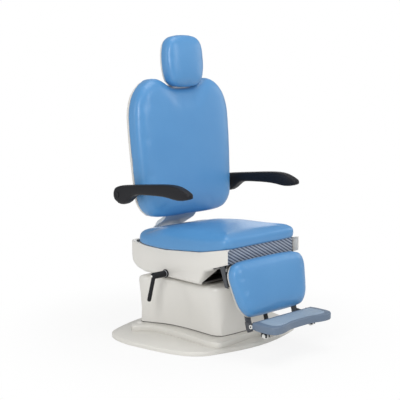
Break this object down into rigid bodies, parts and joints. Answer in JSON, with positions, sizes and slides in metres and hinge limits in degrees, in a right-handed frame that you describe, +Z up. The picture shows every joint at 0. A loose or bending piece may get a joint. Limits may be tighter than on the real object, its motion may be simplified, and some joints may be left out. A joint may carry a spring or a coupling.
{
  "type": "ear nose and throat chair",
  "caption": "Powered examination chair on a lifting swivel column, with reclining back, head rest, swing-up arms and a padded leg rest with foot plate.",
  "frame": {"origin": "on the floor, on the lifting column's axis", "axes": "+Z up along the column, -Y is the direction the seated person faces, X across the seat"},
  "size_m": [0.752, 0.825, 1.2123],
  "materials": {
    "white_gloss": "glossy moulded shell",
    "base_gloss": "glossy moulded floor plate",
    "frame_steel": "satin paint",
    "bright_steel": "brushed",
    "blue_vinyl": "satin upholstery vinyl",
    "board_wood": "plain plywood",
    "black_plastic": "fine grained black",
    "ribbed_grey": "satin, diagonal ribs",
    "bracket_grey": "satin metallic paint",
    "foot_grey": "satin",
    "tread_grey": "fine ribbed",
    "small_white": "plain"
  },
  "bodies": {
    "base": {"base_frame": "frame_steel", "base_plate": "base_gloss", "plinth": "base_gloss", "lower_cover": "white_gloss", "column_outer": "frame_steel", "column_bolts": "bright_steel", "column_bush": "black_plastic", "lift_actuator": "black_plastic"},
    "carriage": {"column_inner": "bright_steel", "lift_rod": "bright_steel", "swivel_drum": "frame_steel", "lower_race": "bright_steel", "swivel_nut": "bright_steel", "inner_skirt": "black_plastic"},
    "seat": {"seat_frame": "frame_steel", "upper_race": "bright_steel", "seat_board": "board_wood", "seat_cushion": "blue_vinyl", "seat_shell": "white_gloss", "shell_brackets": "frame_steel", "front_apron": "ribbed_grey", "brake_block": "frame_steel", "hinge_bushes": "black_plastic", "back_actuator": "black_plastic", "leg_actuator": "black_plastic"},
    "lever": {"clamp_lever": "black_plastic", "clamp_shaft": "bright_steel", "clamp_screw": "small_white"},
    "back": {"back_shaft": "bright_steel", "back_crank": "frame_steel", "back_bracket": "bracket_grey", "back_board": "board_wood", "back_shell": "white_gloss", "back_cushion": "blue_vinyl", "arm_tube": "frame_steel", "head_guide": "frame_steel"},
    "left_arm": {"arm_left": "black_plastic"},
    "right_arm": {"arm_right": "black_plastic"},
    "head_slider": {"head_post": "bright_steel"},
    "head": {"head_pin": "bright_steel", "head_board": "white_gloss", "head_pad": "blue_vinyl"},
    "leg": {"leg_shaft": "bright_steel", "leg_arms": "frame_steel", "leg_crank": "frame_steel", "leg_board": "frame_steel", "leg_shell": "white_gloss", "leg_pad": "blue_vinyl", "leg_bumper": "black_plastic"},
    "foot_slider": {"foot_bars": "frame_steel"},
    "foot": {"foot_plate": "foot_grey", "foot_tread": "tread_grey", "foot_forks": "black_plastic", "foot_rollers": "small_white", "foot_bushes": "small_white"},
    "back_drive": {"back_rod": "bright_steel"},
    "leg_drive": {"leg_rod": "bright_steel"}
  },
  "joints": [
    {"name": "column_lift", "type": "slide", "parent": "base", "child": "carriage", "axis": [0, 0, 1], "range_m": [0, 0.2]},
    {"name": "seat_swivel", "type": "hinge", "parent": "carriage", "child": "seat", "pos_m": [0, 0, 0.324], "axis": [0, 0, 1], "range_deg": [-180, 180]},
    {"name": "brake_lever", "type": "hinge", "parent": "seat", "child": "lever", "pos_m": [-0.206, 0.008, 0.269], "axis": [1, 0, 0], "range_deg": [-40, 40]},
    {"name": "back_recline", "type": "hinge", "parent": "seat", "child": "back", "pos_m": [0, 0.175, 0.345], "axis": [-1, 0, 0], "range_deg": [0, 72]},
    {"name": "leg_raise", "type": "hinge", "parent": "seat", "child": "leg", "pos_m": [0, -0.288, 0.38], "axis": [-1, 0, 0], "range_deg": [0, 61.3]},
    {"name": "back_drive_slide", "type": "slide", "parent": "seat", "child": "back_drive", "axis": [0, -1, 0], "range_m": [0, 0.0475]},
    {"name": "leg_drive_slide", "type": "slide", "parent": "seat", "child": "leg_drive", "axis": [0, -1, 0], "range_m": [0, 0.0615]},
    {"name": "left_arm_lift", "type": "hinge", "parent": "back", "child": "left_arm", "pos_m": [-0.303, 0.165, 0.582], "axis": [-1, 0, 0], "range_deg": [0, 90]},
    {"name": "right_arm_lift", "type": "hinge", "parent": "back", "child": "right_arm", "pos_m": [0.303, 0.165, 0.582], "axis": [-1, 0, 0], "range_deg": [0, 90]},
    {"name": "head_height", "type": "slide", "parent": "back", "child": "head_slider", "axis": [0, 0.0958, 0.9954], "range_m": [0, 0.09]},
    {"name": "head_tilt", "type": "hinge", "parent": "head_slider", "child": "head", "pos_m": [0, 0.18203, 1.09784], "axis": [-1, 0, 0], "range_deg": [-3, 30]},
    {"name": "foot_length", "type": "slide", "parent": "leg", "child": "foot_slider", "axis": [0, -0.2588, -0.9659], "range_m": [0, 0.06]},
    {"name": "foot_tilt", "type": "hinge", "parent": "foot_slider", "child": "foot", "pos_m": [0, -0.411, 0.124], "axis": [-1, 0, 0], "range_deg": [0, 15]}
  ],
  "couplings": [
    {"joint": "leg_raise", "follows": "back_recline", "ratio": 0.85},
    {"joint": "back_drive_slide", "follows": "back_recline", "m_per_rad": 0.0373},
    {"joint": "leg_drive_slide", "follows": "back_recline", "m_per_rad": 0.0486}
  ]
}
